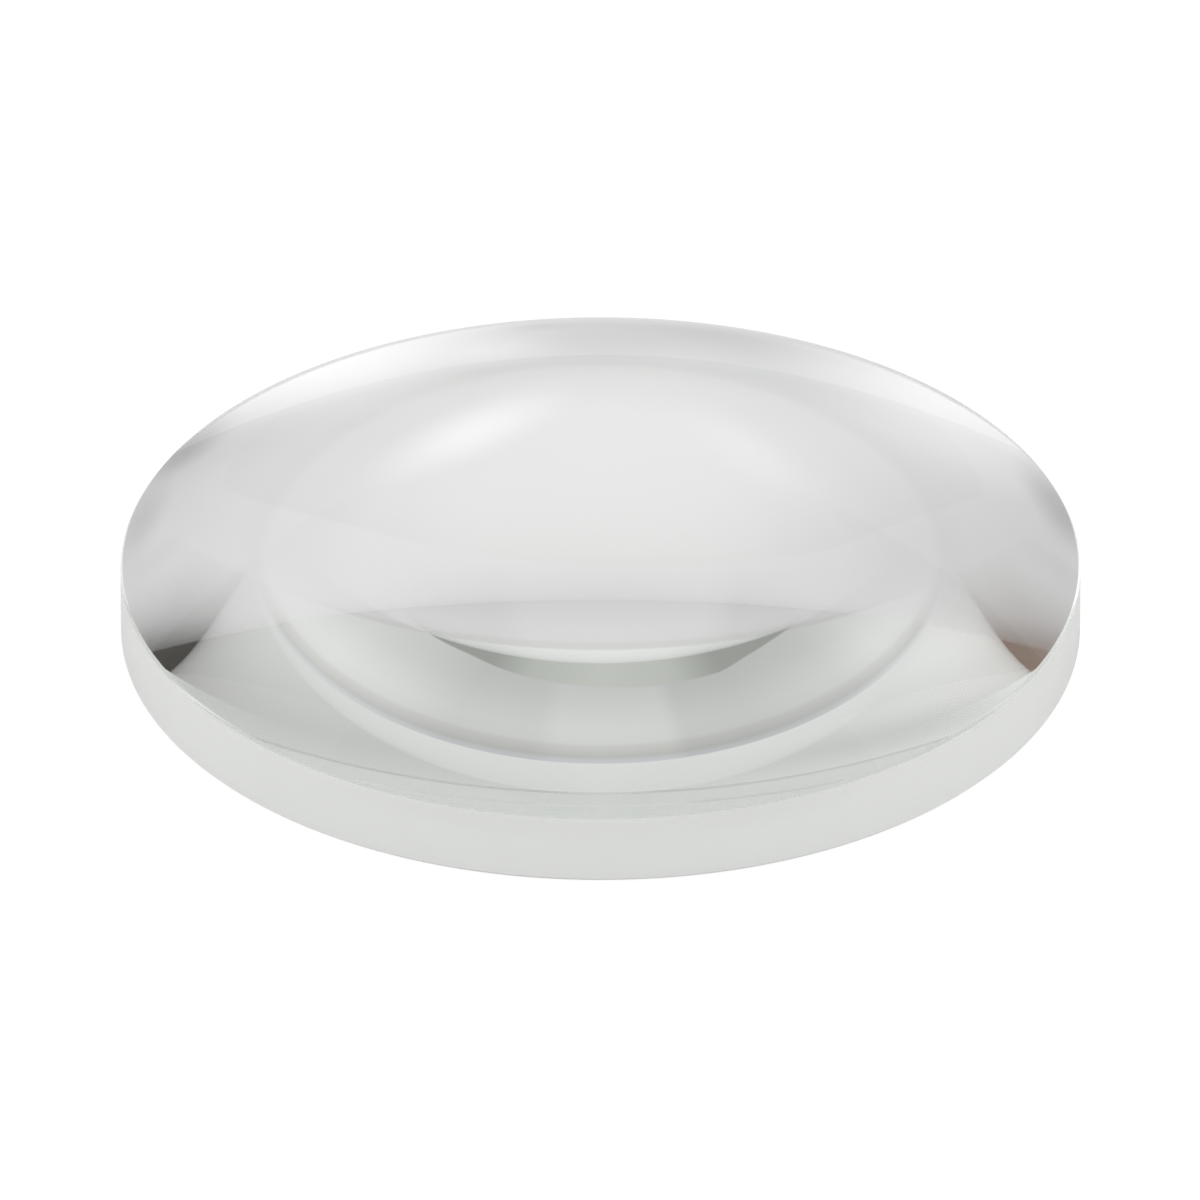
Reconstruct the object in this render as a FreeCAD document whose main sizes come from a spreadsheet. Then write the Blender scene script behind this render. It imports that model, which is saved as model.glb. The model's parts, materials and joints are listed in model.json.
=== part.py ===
import FreeCAD, Part
import math
import os

import Sketcher

# Aspheric lens: one piece of clear optical glass, in millimetres.
# The optical axis is Z and the lens lies with its aspheric front upwards. The origin is the rear vertex,
# the lowest point of the weakly convex rear surface, so the lens rests on it.
# Outside the rear surface the underside is a flat ring, the face that seats in a mount. The outer edge is
# a straight ground cylinder with a small protective bevel at each end.

OUTPUT_FOLDER = "parts"

# Driving sizes: name, value, what it measures
SIZES = [
    ("lens_diameter", 50.0, "outer diameter, across the ground edge"),
    ("edge_thickness", 3.9, "from the flat ring to the front rim, before the bevels"),
    ("front_radius", 50.0, "vertex radius of the aspheric front"),
    ("front_conic", -1.0, "conic constant of the front, a paraboloid at -1"),
    ("rear_radius", 2000.0, "radius of the convex rear surface"),
    ("ring_width", 8.6, "width of the flat ring, before the bevel"),
    ("front_bevel", 0.12, "leg of the bevel round the front rim"),
    ("rear_bevel", 0.15, "leg of the bevel round the flat ring"),
]

# How far an edge may lie from where it is looked for
TOUCH = 1e-4

# Points of a curve, and the sketch's own origin and axes, as constraints number them
START = 1
END = 2
CENTRE = 3
ORIGIN_ID = -1
VERTICAL_AXIS_ID = -2

# The root in the formula of a conic surface, at the edge. The surface falls by
# edge_radius^2 / (front_radius * (1 + root)) from its vertex to its rim.
ROOT = "sqrt(1 - (1 + Sizes.front_conic) * (Sizes.lens_diameter / 2 / Sizes.front_radius) ^ 2)"


def make_sheet(doc):
    """The spreadsheet that holds every driving size."""
    sheet = doc.addObject("Spreadsheet::Sheet", "Sizes")
    for row, (alias, value, note) in enumerate(SIZES, start=1):
        sheet.set(f"A{row}", note)
        sheet.set(f"B{row}", str(value))
        sheet.setAlias(f"B{row}", alias)
    doc.recompute()
    return sheet


def origin_plane(body, role):
    """One of the body's own origin planes, found by its role."""
    for feature in body.Origin.OriginFeatures:
        if feature.Role == role:
            return feature
    raise RuntimeError(f"the body has no {role}")


def join(sketch, first, first_point, second, second_point):
    """Makes two curve ends one point."""
    sketch.addConstraint(Sketcher.Constraint("Coincident", first, first_point, second, second_point))


def put_on_axis(sketch, curve, point):
    """Holds a point of a curve on the optical axis."""
    sketch.addConstraint(Sketcher.Constraint("PointOnObject", curve, point, VERTICAL_AXIS_ID))


def drive(sketch, constraint, name, expression):
    """Adds a dimension and ties it to the sheet."""
    index = sketch.addConstraint(constraint)
    sketch.renameConstraint(index, name)
    sketch.setExpression(f"Constraints.{name}", expression)


def add_conic(sketch, poles, weight):
    """A conic arc: a curve of the second degree with three poles, the middle one weighted."""
    weights = [1, weight, 1]
    curve = Part.BSplineCurve()
    curve.buildFromPolesMultsKnots(poles, [3, 3], [0, 1], False, 2, weights)
    conic_id = sketch.addGeometry(curve)
    pole_ids = []
    for number, pole in enumerate(poles):
        circle = Part.Circle(pole, FreeCAD.Vector(0, 0, 1), weights[number])
        pole_id = sketch.addGeometry(circle, True)
        control_point = "InternalAlignment:Sketcher::BSplineControlPoint"
        sketch.addConstraint(Sketcher.Constraint(control_point, pole_id, CENTRE, conic_id, number))
        pole_ids.append(pole_id)
    return conic_id, pole_ids


def draw_half_section(body, sheet):
    """The closed half section between the optical axis and the ground edge."""
    edge_x = sheet.lens_diameter / 2
    ring_x = edge_x - sheet.ring_width
    ring_z = sheet.rear_radius - math.sqrt(sheet.rear_radius**2 - ring_x**2)
    rim_z = ring_z + sheet.edge_thickness
    root = math.sqrt(1 - (1 + sheet.front_conic) * (edge_x / sheet.front_radius) ** 2)
    sag = edge_x**2 / (sheet.front_radius * (1 + root))
    # Where the tangent at the rim crosses the level tangent at the vertex, and how much it weighs
    crossing_x = edge_x / (1 + root)
    crossing_weight = math.sqrt((1 + root) / 2)

    # Sketch X is the radius and sketch Y is the optical axis
    origin = FreeCAD.Vector(0, 0, 0)
    ring_inner = FreeCAD.Vector(ring_x, ring_z, 0)
    ring_outer = FreeCAD.Vector(edge_x, ring_z, 0)
    rim = FreeCAD.Vector(edge_x, rim_z, 0)
    vertex = FreeCAD.Vector(0, rim_z + sag, 0)
    crossing = FreeCAD.Vector(crossing_x, rim_z + sag, 0)
    rear_centre = FreeCAD.Vector(0, sheet.rear_radius, 0)
    straight_down = -math.pi / 2
    rear_sweep = math.asin(ring_x / sheet.rear_radius)

    sketch = body.newObject("Sketcher::SketchObject", "HalfSection")
    sketch.AttachmentSupport = [(origin_plane(body, "XZ_Plane"), "")]
    sketch.MapMode = "FlatFace"

    rear_circle = Part.Circle(rear_centre, FreeCAD.Vector(0, 0, 1), sheet.rear_radius)
    rear_id = sketch.addGeometry(Part.ArcOfCircle(rear_circle, straight_down, straight_down + rear_sweep))
    ring_id = sketch.addGeometry(Part.LineSegment(ring_inner, ring_outer))
    wall_id = sketch.addGeometry(Part.LineSegment(ring_outer, rim))
    axis_id = sketch.addGeometry(Part.LineSegment(vertex, origin))
    front_id, front_poles = add_conic(sketch, [vertex, crossing, rim], crossing_weight)
    vertex_pole, crossing_pole, rim_pole = front_poles

    join(sketch, rear_id, START, ORIGIN_ID, START)
    join(sketch, rear_id, END, ring_id, START)
    join(sketch, ring_id, END, wall_id, START)
    join(sketch, wall_id, END, front_id, END)
    join(sketch, front_id, START, axis_id, START)
    join(sketch, axis_id, END, ORIGIN_ID, START)
    put_on_axis(sketch, rear_id, CENTRE)
    put_on_axis(sketch, front_id, START)
    sketch.addConstraint(Sketcher.Constraint("Horizontal", ring_id))
    sketch.addConstraint(Sketcher.Constraint("Vertical", wall_id))
    sketch.addConstraint(Sketcher.Constraint("Horizontal", vertex_pole, CENTRE, crossing_pole, CENTRE))

    rear_radius = Sketcher.Constraint("Radius", rear_id, sheet.rear_radius)
    ring_width = Sketcher.Constraint("Distance", ring_id, sheet.ring_width)
    edge_radius = Sketcher.Constraint("DistanceX", ORIGIN_ID, START, wall_id, START, edge_x)
    edge_thickness = Sketcher.Constraint("Distance", wall_id, sheet.edge_thickness)
    front_sag = Sketcher.Constraint("DistanceY", wall_id, END, front_id, START, sag)
    front_reach = Sketcher.Constraint("DistanceX", ORIGIN_ID, START, crossing_pole, CENTRE, crossing_x)
    drive(sketch, rear_radius, "rear_radius", "Sizes.rear_radius")
    drive(sketch, ring_width, "ring_width", "Sizes.ring_width")
    drive(sketch, edge_radius, "edge_radius", "Sizes.lens_diameter / 2")
    drive(sketch, edge_thickness, "edge_thickness", "Sizes.edge_thickness")
    drive(sketch, front_sag, "front_sag", f"(Sizes.lens_diameter / 2) ^ 2 / (Sizes.front_radius * (1 + {ROOT}))")
    drive(sketch, front_reach, "front_reach", f"Sizes.lens_diameter / 2 / (1 + {ROOT})")

    sketch.addConstraint(Sketcher.Constraint("Weight", vertex_pole, 1))
    sketch.addConstraint(Sketcher.Constraint("Weight", rim_pole, 1))
    crossing_datum = Sketcher.Constraint("Weight", crossing_pole, crossing_weight)
    drive(sketch, crossing_datum, "crossing_weight", f"sqrt((1 + {ROOT}) / 2)")
    return sketch


def rim_edge(shape, radius, height):
    """Name of the round edge of this radius at this height."""
    for number, edge in enumerate(shape.Edges, start=1):
        if edge.Degenerated or not isinstance(edge.Curve, Part.Circle):
            continue
        radius_fits = abs(edge.Curve.Radius - radius) < TOUCH
        height_fits = abs(edge.Curve.Center.z - height) < TOUCH
        if radius_fits and height_fits:
            return f"Edge{number}"
    raise RuntimeError(f"no round edge of radius {radius} at height {height}")


def make_bevel(body, base, edge, name, size):
    """A small bevel on one rim, its leg tied to the sheet."""
    bevel = body.newObject("PartDesign::Chamfer", name)
    bevel.Base = (base, [edge])
    bevel.setExpression("Size", f"Sizes.{size}")
    return bevel


def make_lens(doc, sheet):
    """The lens: its half section turned about the optical axis, then both rims bevelled."""
    body = doc.addObject("PartDesign::Body", "Lens")
    body.Label = "lens"
    section = draw_half_section(body, sheet)
    blank = body.newObject("PartDesign::Revolution", "Blank")
    blank.Profile = section
    blank.ReferenceAxis = (section, ["V_Axis"])
    blank.Angle = 360
    doc.recompute()

    edge_radius = sheet.lens_diameter / 2
    wall = section.Shape.Vertexes
    wall_heights = sorted(point.Z for point in wall if abs(point.X - edge_radius) < TOUCH)
    ring_z, rim_z = wall_heights
    front = make_bevel(body, blank, rim_edge(blank.Shape, edge_radius, rim_z), "FrontBevel", "front_bevel")
    doc.recompute()
    rear_edge = rim_edge(front.Shape, edge_radius, ring_z)
    make_bevel(body, front, rear_edge, "RearBevel", "rear_bevel")
    body.Placement = FreeCAD.Placement()
    doc.recompute()
    return body


def check(doc, bodies):
    """Stops before anything is written if a feature failed or a solid isn't sound."""
    for item in doc.Objects:
        if "Invalid" in item.State or "Error" in item.State:
            raise RuntimeError(f"{item.Name} failed: {item.State}")
        if item.TypeId == "Sketcher::SketchObject" and not item.FullyConstrained:
            raise RuntimeError(f"{item.Name} isn't fully constrained")
    for body in bodies:
        if body.Shape.isNull() or not body.Shape.isValid() or len(body.Shape.Solids) != 1:
            raise RuntimeError(f"{body.Label} isn't one valid solid")


def main():
    doc = FreeCAD.newDocument("AsphericLens")
    sheet = make_sheet(doc)
    bodies = [make_lens(doc, sheet)]
    check(doc, bodies)
    os.makedirs(OUTPUT_FOLDER, exist_ok=True)
    for body in bodies:
        body.Shape.exportStep(f"{OUTPUT_FOLDER}/{body.Label}.step")
        box = body.Shape.optimalBoundingBox(False)
        print(f"{body.Label}: {box.XLength:.3f} x {box.YLength:.3f} x {box.ZLength:.3f} mm")
        print(f"  lowest z {box.ZMin:.4f}, volume {body.Shape.Volume:.1f} mm3, faces {len(body.Shape.Faces)}")


main()
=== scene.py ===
import json
import math

import bmesh
import bpy
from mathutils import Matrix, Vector


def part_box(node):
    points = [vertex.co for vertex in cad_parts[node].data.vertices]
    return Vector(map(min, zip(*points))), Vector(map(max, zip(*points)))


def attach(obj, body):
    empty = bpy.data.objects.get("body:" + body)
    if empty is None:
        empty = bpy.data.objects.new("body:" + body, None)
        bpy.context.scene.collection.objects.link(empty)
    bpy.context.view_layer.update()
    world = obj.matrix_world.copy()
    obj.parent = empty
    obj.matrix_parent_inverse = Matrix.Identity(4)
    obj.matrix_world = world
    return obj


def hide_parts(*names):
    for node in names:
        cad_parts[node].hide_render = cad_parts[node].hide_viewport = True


# A loose aspheric lens on a white table: one piece of polished glass with a fine-ground edge.
# Metres throughout, in the row's frame: the optical axis is Z and the lens rests on its rear vertex.

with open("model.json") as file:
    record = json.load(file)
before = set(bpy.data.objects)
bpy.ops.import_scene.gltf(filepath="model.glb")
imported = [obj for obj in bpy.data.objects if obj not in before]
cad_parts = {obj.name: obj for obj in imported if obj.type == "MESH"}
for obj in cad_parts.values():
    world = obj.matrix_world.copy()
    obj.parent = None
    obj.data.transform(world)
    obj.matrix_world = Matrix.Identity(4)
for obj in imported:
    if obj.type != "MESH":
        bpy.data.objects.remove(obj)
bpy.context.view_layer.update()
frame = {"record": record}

MM = 0.001

# Sizes that the frame gives
mounts = {mount["name"]: mount for mount in frame["record"]["mounts"]}
EDGE_RADIUS = mounts["edge"]["dims"]["r_mm"] * MM
WALL_LENGTH = mounts["edge"]["dims"]["length_mm"] * MM
WALL_MIDDLE = mounts["edge"]["pos_m"][2]
WALL_LOW = WALL_MIDDLE - WALL_LENGTH / 2
WALL_HIGH = WALL_MIDDLE + WALL_LENGTH / 2
VERTEX_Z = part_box("lens")[1].z

# Optical sizes of the same lens
FRONT_RADIUS = 50.0 * MM
FRONT_CONIC = -1.0
REAR_RADIUS = 2000.0 * MM
RING_WIDTH = 8.6 * MM
FRONT_BEVEL = 0.12 * MM
REAR_BEVEL = 0.15 * MM

# How finely the lens is turned, so that smooth shading bends light as the true curve does
TURNS = 512
FRONT_STEPS = 96
REAR_STEPS = 24
WALL_STEPS = 4
SHARP_ANGLE = math.radians(1.5)
SAME_POINT = 1e-7

# The lens's materials: the polished one also covers the bevel round the front rim
POLISHED_SLOT = 0
GROUND_SLOT = 1

# Glass: refractive index, and a tint that shows only on long paths
GLASS_INDEX = 1.5168
GLASS_TINT = (0.6, 0.9, 0.6, 1)
GLASS_DENSITY = 1.3

# The polish: how many haze clouds to a metre, and the haze where they are thickest
HAZE_SCALE = 180
HAZE_ROUGHNESS = 0.008

# The ground edge: its colour, how clear it is, how many grains to a metre, how rough and how deep they are,
# and how much of the light outside glows through it into the glass
GROUND_COLOUR = (0.93, 0.94, 0.92, 1)
GROUND_CLEARNESS = 0.3
GRAIN_SCALE = 9000
GRAIN_ROUGHNESS = (0.5, 0.7)
GRAIN_STRENGTH = 0.12
GRAIN_DEPTH = 0.01 * MM
GROUND_GLOW = 0.76


def front_fall(radius):
    """How far the front surface lies below its vertex at this radius."""
    root = math.sqrt(1 - (1 + FRONT_CONIC) * (radius / FRONT_RADIUS) ** 2)
    return radius**2 / (FRONT_RADIUS * (1 + root))


def rear_rise(radius):
    """How far the rear surface lies above its vertex at this radius."""
    return REAR_RADIUS - math.sqrt(REAR_RADIUS**2 - radius**2)


def steps(start, end, count):
    """Evenly spaced values after start, up to and with end."""
    return [start + (end - start) * step / count for step in range(1, count + 1)]


def half_section():
    """Points of the lens's half section, from the rear vertex out and over to the front vertex."""
    ring_inner = EDGE_RADIUS - RING_WIDTH
    ring_outer = EDGE_RADIUS - REAR_BEVEL
    slope = front_fall(EDGE_RADIUS) - front_fall(EDGE_RADIUS - FRONT_BEVEL)
    front_outer = EDGE_RADIUS - FRONT_BEVEL * FRONT_BEVEL / math.hypot(FRONT_BEVEL, slope)
    points = [(0, 0)]
    points += [(radius, rear_rise(radius)) for radius in steps(0, ring_inner, REAR_STEPS)]
    points.append((ring_outer, rear_rise(ring_inner)))
    points.append((EDGE_RADIUS, WALL_LOW))
    points += [(EDGE_RADIUS, height) for height in steps(WALL_LOW, WALL_HIGH, WALL_STEPS)]
    points.append((front_outer, VERTEX_Z - front_fall(front_outer)))
    points += [(radius, VERTEX_Z - front_fall(radius)) for radius in steps(front_outer, 0, FRONT_STEPS)]
    return points


def turn_lens():
    """The lens as one closed mesh, its half section turned about the optical axis."""
    shape = bmesh.new()
    row = [shape.verts.new((radius, 0, height)) for radius, height in half_section()]
    edges = [shape.edges.new(pair) for pair in zip(row, row[1:])]
    bmesh.ops.spin(
        shape,
        geom=row + edges,
        cent=(0, 0, 0),
        axis=(0, 0, 1),
        angle=2 * math.pi,
        steps=TURNS,
        use_merge=True,
    )
    bmesh.ops.remove_doubles(shape, verts=shape.verts, dist=SAME_POINT)
    bmesh.ops.recalc_face_normals(shape, faces=shape.faces)
    for face in shape.faces:
        face.smooth = True
        middle = face.calc_center_median()
        ground = middle.xy.length > EDGE_RADIUS - REAR_BEVEL and middle.z < WALL_HIGH
        face.material_index = GROUND_SLOT if ground else POLISHED_SLOT
    for edge in shape.edges:
        edge.smooth = edge.calc_face_angle(0) < SHARP_ANGLE
    mesh = bpy.data.meshes.new("lens_glass")
    shape.to_mesh(mesh)
    shape.free()
    lens = bpy.data.objects.new("lens_glass", mesh)
    bpy.context.scene.collection.objects.link(lens)
    return lens


def new_material(name):
    """An empty node material, and its node tree."""
    material = bpy.data.materials.new(name)
    material.use_nodes = True
    tree = material.node_tree
    tree.nodes.clear()
    return material, tree


def add_node(tree, kind, **sockets):
    """Adds a node. Sockets are named by their labels, with underscores for spaces."""
    node = tree.nodes.new(kind)
    for label, value in sockets.items():
        node.inputs[label.replace("_", " ")].default_value = value
    return node


def combine(tree, operation, first, second):
    """One value made of two, each a socket or a number."""
    node = tree.nodes.new("ShaderNodeMath")
    node.operation = operation
    for socket, value in zip(node.inputs, (first, second)):
        if isinstance(value, (int, float)):
            socket.default_value = value
        else:
            tree.links.new(value, socket)
    return node.outputs["Value"]


def noise_range(tree, scale, detail, low, high):
    """Fine even noise over the lens, as it is and spread between low and high."""
    place = add_node(tree, "ShaderNodeTexCoord")
    noise = add_node(tree, "ShaderNodeTexNoise", Scale=scale, Detail=detail)
    spread = add_node(tree, "ShaderNodeMapRange", From_Min=0.3, From_Max=0.7, To_Min=low, To_Max=high)
    tree.links.new(place.outputs["Object"], noise.inputs["Vector"])
    tree.links.new(noise.outputs["Fac"], spread.inputs["Value"])
    return noise.outputs["Fac"], spread.outputs["Result"]


def polished_glass():
    """Clear optical glass with a trace of haze that varies over the polish."""
    material, tree = new_material("polished_glass")
    link = tree.links.new
    output = add_node(tree, "ShaderNodeOutputMaterial")
    polish = add_node(tree, "ShaderNodeBsdfPrincipled", Base_Color=(1, 1, 1, 1), IOR=GLASS_INDEX)
    polish.inputs["Transmission Weight"].default_value = 1
    _, haze = noise_range(tree, HAZE_SCALE, 4, 0, HAZE_ROUGHNESS)
    link(haze, polish.inputs["Roughness"])
    link(polish.outputs["BSDF"], output.inputs["Surface"])
    tint = add_node(tree, "ShaderNodeVolumeAbsorption", Color=GLASS_TINT, Density=GLASS_DENSITY)
    link(tint.outputs["Volume"], output.inputs["Volume"])
    return material


def ground_glass():
    """The edge and the bevel below it: the same glass, fine ground and pale."""
    material, tree = new_material("ground_glass")
    link = tree.links.new
    output = add_node(tree, "ShaderNodeOutputMaterial")
    grind = add_node(tree, "ShaderNodeBsdfPrincipled", Base_Color=GROUND_COLOUR, IOR=GLASS_INDEX)
    grind.inputs["Transmission Weight"].default_value = GROUND_CLEARNESS
    grain, roughness = noise_range(tree, GRAIN_SCALE, 3, *GRAIN_ROUGHNESS)
    bump = add_node(tree, "ShaderNodeBump", Strength=GRAIN_STRENGTH, Distance=GRAIN_DEPTH)
    link(grain, bump.inputs["Height"])
    link(bump.outputs["Normal"], grind.inputs["Normal"])
    link(roughness, grind.inputs["Roughness"])
    inside = add_node(tree, "ShaderNodeNewGeometry").outputs["Backfacing"]
    glow = add_node(tree, "ShaderNodeBsdfTranslucent", Color=GROUND_COLOUR)
    surface = add_node(tree, "ShaderNodeMixShader")
    link(combine(tree, "MULTIPLY", inside, GROUND_GLOW), surface.inputs["Fac"])
    link(grind.outputs["BSDF"], surface.inputs[1])
    link(glow.outputs["BSDF"], surface.inputs[2])
    link(surface.outputs["Shader"], output.inputs["Surface"])
    tint = add_node(tree, "ShaderNodeVolumeAbsorption", Color=GLASS_TINT, Density=GLASS_DENSITY)
    link(tint.outputs["Volume"], output.inputs["Volume"])
    return material


def graded(tree, value, stops):
    """A scale over a value from 0 to 1: each stop is a place and its brightness or colour."""
    ramp = add_node(tree, "ShaderNodeValToRGB")
    tree.links.new(value, ramp.inputs["Fac"])
    marks = ramp.color_ramp.elements
    while len(marks) > 1:
        marks.remove(marks[0])
    for number, (position, shade) in enumerate(stops):
        mark = marks[0] if number == 0 else marks.new(position)
        mark.position = position
        mark.color = (*shade, 1) if isinstance(shade, tuple) else (shade, shade, shade, 1)
    return ramp.outputs["Color"]


def soft_edge(tree, value, start, end):
    """0 up to start, 1 from end on, with a smooth change between."""
    change = add_node(tree, "ShaderNodeMapRange", From_Min=start, From_Max=end)
    change.interpolation_type = "SMOOTHSTEP"
    tree.links.new(value, change.inputs["Value"])
    return change.outputs["Result"]


def centred(tree, place, centre, turn, length, width):
    """A place measured from a centre, in half lengths and half widths."""
    mapping = add_node(tree, "ShaderNodeMapping", Location=(*centre, 0), Rotation=(0, 0, math.radians(turn)))
    mapping.vector_type = "TEXTURE"
    mapping.inputs["Scale"].default_value = (length / 2, width / 2, 1)
    tree.links.new(place, mapping.inputs["Vector"])
    return mapping.outputs["Vector"]


def soft_spot(tree, place, centre, turn, length, width):
    """1 at the centre of a soft oval, 0 outside it."""
    oval = add_node(tree, "ShaderNodeTexGradient")
    oval.gradient_type = "SPHERICAL"
    tree.links.new(centred(tree, place, centre, turn, length, width), oval.inputs["Vector"])
    return soft_edge(tree, oval.outputs["Fac"], 0, 1)


def soft_board(tree, place, centre, length, width, blur):
    """1 inside a rectangle with blurred sides, 0 outside it."""
    size = add_node(tree, "ShaderNodeVectorMath")
    size.operation = "ABSOLUTE"
    split = add_node(tree, "ShaderNodeSeparateXYZ")
    tree.links.new(centred(tree, place, centre, 0, length, width), size.inputs[0])
    tree.links.new(size.outputs["Vector"], split.inputs["Vector"])
    reach = combine(tree, "MAXIMUM", split.outputs["X"], split.outputs["Y"])
    return combine(tree, "SUBTRACT", 1, soft_edge(tree, reach, 1 - blur, 1 + blur))


# Painted light and shade: to the glass the table glows with painted caustic light from the lens and painted shadows,
# darker near the lens's rim.
# The table as the glass shows it, which isn't the white that the camera sees: set by comparing brightness.
# Distances are in lens radii from the optical axis.
TABLE_REACH = 4.0
PAINTED_LIGHT_STOPS = [
    (0.0, 0.86),
    (0.3, 0.87),
    (0.45, 0.86),
    (0.55, 0.81),
    (0.645, 0.785),
    (0.66, 0.745),
    (0.72, 0.745),
    (0.8, 0.71),
    (0.92, 0.64),
    (1.0, 0.66),
    (1.05, 0.85),
    (1.3, 0.85),
    (1.6, 0.74),
    (4.0, 0.74),
]
# Painted light and painted shadows of the lens on the table: centre, turn in degrees, length, width, brightness
PAINTED_LIGHT_AND_SHADOW_SPOTS = [
    ((-0.24, 0.4), 38, 0.56, 0.22, 0.15),
    ((0.28, 0.32), -55, 0.5, 0.18, 0.04),
    ((-0.5, 0.86), 33, 1.1, 0.75, 0.56),
    ((0.67, 0.71), -48, 1.1, 0.68, 0.4),
    ((-0.82, 0.54), 57, 0.4, 0.18, -0.27),
    ((-0.92, 0.25), 75, 0.5, 0.14, -0.14),
    ((0.91, 0.33), -70, 0.5, 0.16, -0.22),
    ((0.22, 0.9), 0, 0.95, 0.5, -0.11),
    ((0.0, 0.75), 0, 0.4, 0.3, -0.05),
    ((-0.19, 0.75), 0, 0.32, 0.22, 0.09),
    ((-0.13, 0.94), 0, 0.22, 0.16, -0.11),
    ((0.7, -0.03), 0, 1.3, 1.1, -0.12),
    ((0.0, -0.14), 0, 1.0, 0.3, -0.06),
    ((-0.92, -0.22), 60, 0.6, 0.5, -0.09),
    ((0.92, -0.22), -60, 0.6, 0.5, -0.08),
    ((-0.84, -0.24), 0, 0.4, 0.3, -0.3),
    ((0.84, -0.24), 0, 0.4, 0.3, -0.2),
]
TABLE_DARKEST = 0.05
# The table itself: its half width and colour, how white it is to the camera, and how much of that is its own glow
TABLE_HALF_WIDTH = 3.0
TABLE_COLOUR = (0.85, 0.85, 0.85, 1)
TABLE_WHITE = 1.12
TABLE_WHITE_SHARE = 0.8


def painted_table_light(tree):
    """Painted light and shade: the table's brightness seen through the lens or mirrored in it, a glow with painted
    caustic light and painted shadows.
    """
    place = add_node(tree, "ShaderNodeTexCoord")
    radii = add_node(tree, "ShaderNodeMapping")
    radii.inputs["Scale"].default_value = (1 / EDGE_RADIUS, 1 / EDGE_RADIUS, 0)
    tree.links.new(place.outputs["Object"], radii.inputs["Vector"])
    away = add_node(tree, "ShaderNodeVectorMath")
    away.operation = "LENGTH"
    tree.links.new(radii.outputs["Vector"], away.inputs[0])
    reach = combine(tree, "DIVIDE", away.outputs["Value"], TABLE_REACH)
    glow = graded(tree, reach, [(radius / TABLE_REACH, brightness) for radius, brightness in PAINTED_LIGHT_STOPS])
    for centre, turn, length, width, brightness in PAINTED_LIGHT_AND_SHADOW_SPOTS:
        spot = soft_spot(tree, radii.outputs["Vector"], centre, turn, length, width)
        glow = combine(tree, "ADD", glow, combine(tree, "MULTIPLY", spot, brightness))
    return combine(tree, "MAXIMUM", glow, TABLE_DARKEST)


def white_table():
    """A plain white table, so white to the camera that the lens's faint shadow doesn't show on it; to the glass it
    shows painted light and shade.
    """
    shape = bmesh.new()
    bmesh.ops.create_grid(shape, x_segments=1, y_segments=1, size=TABLE_HALF_WIDTH)
    mesh = bpy.data.meshes.new("table")
    shape.to_mesh(mesh)
    shape.free()
    table = bpy.data.objects.new("table", mesh)
    bpy.context.scene.collection.objects.link(table)
    material, tree = new_material("white_table")
    link = tree.links.new
    output = add_node(tree, "ShaderNodeOutputMaterial")
    path = add_node(tree, "ShaderNodeLightPath")
    seen = combine(tree, "MAXIMUM", path.outputs["Is Glossy Ray"], path.outputs["Is Transmission Ray"])

    lit = add_node(tree, "ShaderNodeBsdfDiffuse", Color=TABLE_COLOUR)
    white = add_node(tree, "ShaderNodeEmission", Color=(1, 1, 1, 1), Strength=TABLE_WHITE)
    share = combine(tree, "MULTIPLY", path.outputs["Is Camera Ray"], TABLE_WHITE_SHARE)
    direct = add_node(tree, "ShaderNodeMixShader")
    link(share, direct.inputs["Fac"])
    link(lit.outputs["BSDF"], direct.inputs[1])
    link(white.outputs["Emission"], direct.inputs[2])

    # Painted light and shade that only the glass sees
    glow = add_node(tree, "ShaderNodeEmission", Color=(1, 1, 1, 1))
    link(painted_table_light(tree), glow.inputs["Strength"])
    both = add_node(tree, "ShaderNodeMixShader")
    link(seen, both.inputs["Fac"])
    link(direct.outputs["Shader"], both.inputs[1])
    link(glow.outputs["Emission"], both.inputs[2])
    link(both.outputs["Shader"], output.inputs["Surface"])
    table.data.materials.append(material)


# The room as the glass shows it, by elevation in degrees
ROOM_COLOURS = [
    (0, (0.57, 0.58, 0.6)),
    (1.5, (0.55, 0.555, 0.57)),
    (3, (0.48, 0.48, 0.475)),
    (5, (0.535, 0.53, 0.515)),
    (7.5, (0.585, 0.58, 0.57)),
    (9, (0.655, 0.655, 0.655)),
    (14, (0.67, 0.67, 0.67)),
    (20, (0.63, 0.63, 0.63)),
    (25, (0.58, 0.58, 0.58)),
    (30, (0.55, 0.55, 0.55)),
    (90, (0.5, 0.5, 0.49)),
]
# How much brighter or darker it is by bearing in degrees: 0 is behind the lens, 90 its right side
ROOM_BEARINGS = [
    (-180, 0.95),
    (-100, 0.95),
    (-60, 1.13),
    (-45, 1.13),
    (-35, 0.96),
    (-20, 0.86),
    (-11, 0.88),
    (-9, 1.0),
    (6, 1.0),
    (8.5, 0.93),
    (20, 0.93),
    (30, 1.07),
    (42, 1.18),
    (60, 1.18),
    (100, 0.95),
    (180, 0.95),
]
# The darker upper part behind the lens: its lower edge in degrees, and its brightness, by bearing
UPPER_COLOUR = (0.97, 1.0, 0.94)
UPPER_EDGES = [
    (-180, 60),
    (-45, 60),
    (-40, 33.5),
    (-31, 32),
    (-25, 30.5),
    (-20, 28.5),
    (-8, 28),
    (0, 28.6),
    (12, 30),
    (17, 31),
    (23, 32.5),
    (31, 33.5),
    (40, 35),
    (45, 60),
    (180, 60),
]
UPPER_BEARINGS = [
    (-180, 0.55),
    (-60, 0.55),
    (-36, 0.3),
    (-20, 0.32),
    (-12, 0.5),
    (0, 0.54),
    (12, 0.47),
    (19, 0.32),
    (36, 0.3),
    (60, 0.55),
    (180, 0.55),
]
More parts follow.
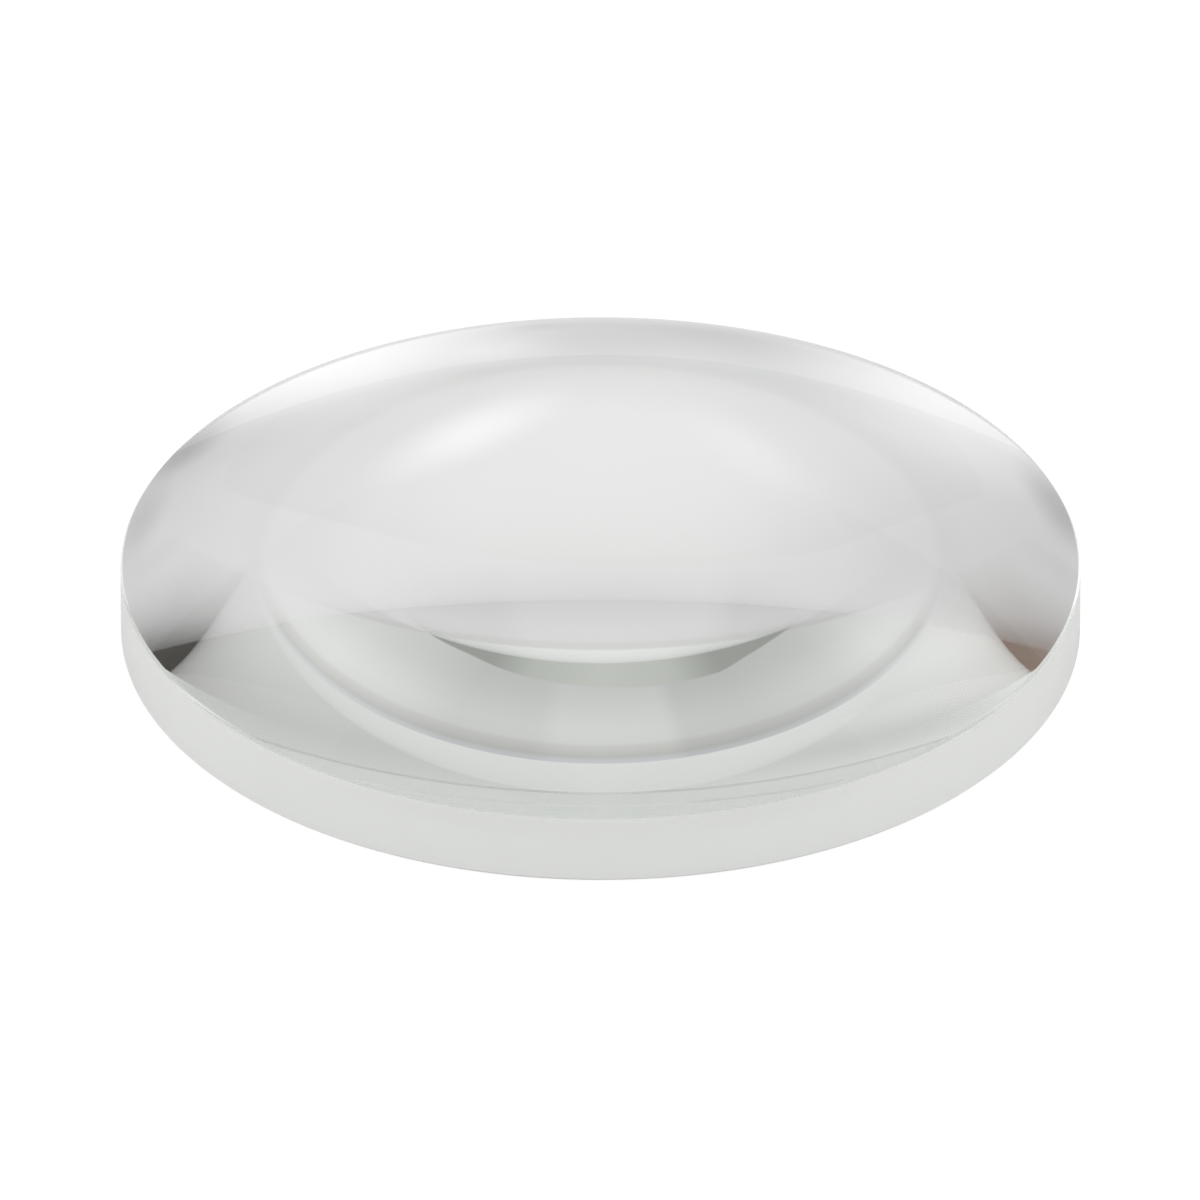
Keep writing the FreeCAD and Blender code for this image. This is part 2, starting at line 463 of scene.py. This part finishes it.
# Dark boards at the sides: bearing, elevation, width and height in degrees, and colour
SIDE_BOARDS = [
    (88, 31, 27, 27, (0.012, 0.005, 0.001)),
    (-88, 31, 26, 26, (0.19, 0.12, 0.09)),
]
# How soft the boards' sides are, in half widths, and the upper part's lower edge, in right angles
BOARD_BLUR = 0.7
UPPER_BLUR = 0.003
# The even light on the table and the ground edge, and how much more comes from the sides
ROOM_LIGHT = 0.57
ROOM_SIDE_LIGHT = 0.95


def by_bearing(stops):
    """Stops over the full turn, from bearings in degrees."""
    return [(bearing / 360 + 0.5, shade) for bearing, shade in stops]


def room_colour(tree, direction):
    """The room that the glass shows: a shader with the colour of each direction."""
    link = tree.links.new
    split = add_node(tree, "ShaderNodeSeparateXYZ")
    link(direction, split.inputs["Vector"])
    bearing = combine(tree, "ARCTAN2", split.outputs["X"], split.outputs["Y"])
    elevation = combine(tree, "ARCSINE", split.outputs["Z"], 0)
    turn = combine(tree, "ADD", combine(tree, "DIVIDE", bearing, 2 * math.pi), 0.5)

    lower = add_node(tree, "ShaderNodeBackground")
    rise = combine(tree, "DIVIDE", elevation, math.pi / 2)
    colour_stops = [(degrees / 90, colour) for degrees, colour in ROOM_COLOURS]
    link(graded(tree, rise, colour_stops), lower.inputs["Color"])
    link(graded(tree, turn, by_bearing(ROOM_BEARINGS)), lower.inputs["Strength"])

    upper = add_node(tree, "ShaderNodeBackground", Color=(*UPPER_COLOUR, 1))
    link(graded(tree, turn, by_bearing(UPPER_BEARINGS)), upper.inputs["Strength"])
    edge_stops = [(bearing_degrees, degrees / 90) for bearing_degrees, degrees in UPPER_EDGES]
    edge = graded(tree, turn, by_bearing(edge_stops))
    above = soft_edge(tree, combine(tree, "SUBTRACT", rise, edge), -UPPER_BLUR, UPPER_BLUR)
    room = add_node(tree, "ShaderNodeMixShader")
    link(above, room.inputs["Fac"])
    link(lower.outputs["Background"], room.inputs[1])
    link(upper.outputs["Background"], room.inputs[2])

    place = add_node(tree, "ShaderNodeCombineXYZ")
    link(bearing, place.inputs["X"])
    link(elevation, place.inputs["Y"])
    for bearing_degrees, elevation_degrees, width, height, colour in SIDE_BOARDS:
        centre = (math.radians(bearing_degrees), math.radians(elevation_degrees))
        board = add_node(tree, "ShaderNodeBackground", Color=(*colour, 1))
        covered = add_node(tree, "ShaderNodeMixShader")
        size = (math.radians(width), math.radians(height))
        inside = soft_board(tree, place.outputs["Vector"], centre, *size, BOARD_BLUR)
        link(inside, covered.inputs["Fac"])
        link(room.outputs["Shader"], covered.inputs[1])
        link(board.outputs["Background"], covered.inputs[2])
        room = covered
    return room.outputs["Shader"]


def studio_room():
    """The world: a pale room as the glass shows it, white to the camera."""
    world = bpy.data.worlds.new("room")
    world.use_nodes = True
    tree = world.node_tree
    tree.nodes.clear()
    link = tree.links.new
    output = add_node(tree, "ShaderNodeOutputWorld")
    direction = add_node(tree, "ShaderNodeTexCoord")
    split = add_node(tree, "ShaderNodeSeparateXYZ")
    link(direction.outputs["Generated"], split.inputs["Vector"])
    path = add_node(tree, "ShaderNodeLightPath")

    side = combine(tree, "ABSOLUTE", split.outputs["X"], 0)
    fill = add_node(tree, "ShaderNodeBackground", Color=(1, 1, 1, 1))
    more = combine(tree, "MULTIPLY", side, ROOM_SIDE_LIGHT)
    link(combine(tree, "ADD", more, ROOM_LIGHT), fill.inputs["Strength"])
    white = add_node(tree, "ShaderNodeBackground", Color=(1, 1, 1, 1), Strength=1)

    spread = add_node(tree, "ShaderNodeMixShader")
    link(path.outputs["Is Diffuse Ray"], spread.inputs["Fac"])
    link(room_colour(tree, direction.outputs["Generated"]), spread.inputs[1])
    link(fill.outputs["Background"], spread.inputs[2])
    direct = add_node(tree, "ShaderNodeMixShader")
    link(path.outputs["Is Camera Ray"], direct.inputs["Fac"])
    link(spread.outputs["Shader"], direct.inputs[1])
    link(white.outputs["Background"], direct.inputs[2])
    link(direct.outputs["Shader"], output.inputs["Surface"])
    bpy.context.scene.world = world


# The photograph's frame, in its own pixels: the lens's radius, and where the middle of its flat ring lies
FRAME_PIXELS = 1200
LENS_RADIUS_PIXELS = 479.4
AXIS_RIGHT_PIXELS = 0.5
AXIS_DOWN_PIXELS = 27.3
VIEW_ELEVATION = math.radians(31.45)
VIEW_DISTANCE = 1.5


def photo_camera():
    """A long lens at the photograph's angle, framed as it is."""
    pixel = EDGE_RADIUS / LENS_RADIUS_PIXELS
    back = Vector((0, -math.cos(VIEW_ELEVATION), math.sin(VIEW_ELEVATION)))
    up = Vector((0, math.sin(VIEW_ELEVATION), math.cos(VIEW_ELEVATION)))
    right = Vector((1, 0, 0))
    ring_middle = Vector((0, 0, rear_rise(EDGE_RADIUS - RING_WIDTH)))
    aim = ring_middle + (up * AXIS_DOWN_PIXELS - right * AXIS_RIGHT_PIXELS) * pixel
    view = bpy.data.cameras.new("photo_camera")
    view.sensor_width = 36
    view.lens = view.sensor_width * VIEW_DISTANCE / (FRAME_PIXELS * pixel)
    view.clip_end = 100
    camera = bpy.data.objects.new("photo_camera", view)
    camera.location = aim + back * VIEW_DISTANCE
    camera.rotation_mode = "QUATERNION"
    camera.rotation_quaternion = back.to_track_quat("Z", "Y")
    bpy.context.scene.collection.objects.link(camera)
    bpy.context.scene.camera = camera


def light_paths():
    """Enough bounces for light that is totally reflected inside the lens several times."""
    cycles = bpy.context.scene.cycles
    cycles.max_bounces = 32
    cycles.glossy_bounces = 24
    cycles.transmission_bounces = 32
    cycles.diffuse_bounces = 4


lens = turn_lens()
lens.data.materials.append(polished_glass())
lens.data.materials.append(ground_glass())
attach(lens, "root")
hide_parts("lens")

white_table()
studio_room()
photo_camera()
light_paths()
bpy.context.scene.view_settings.view_transform = "Standard"
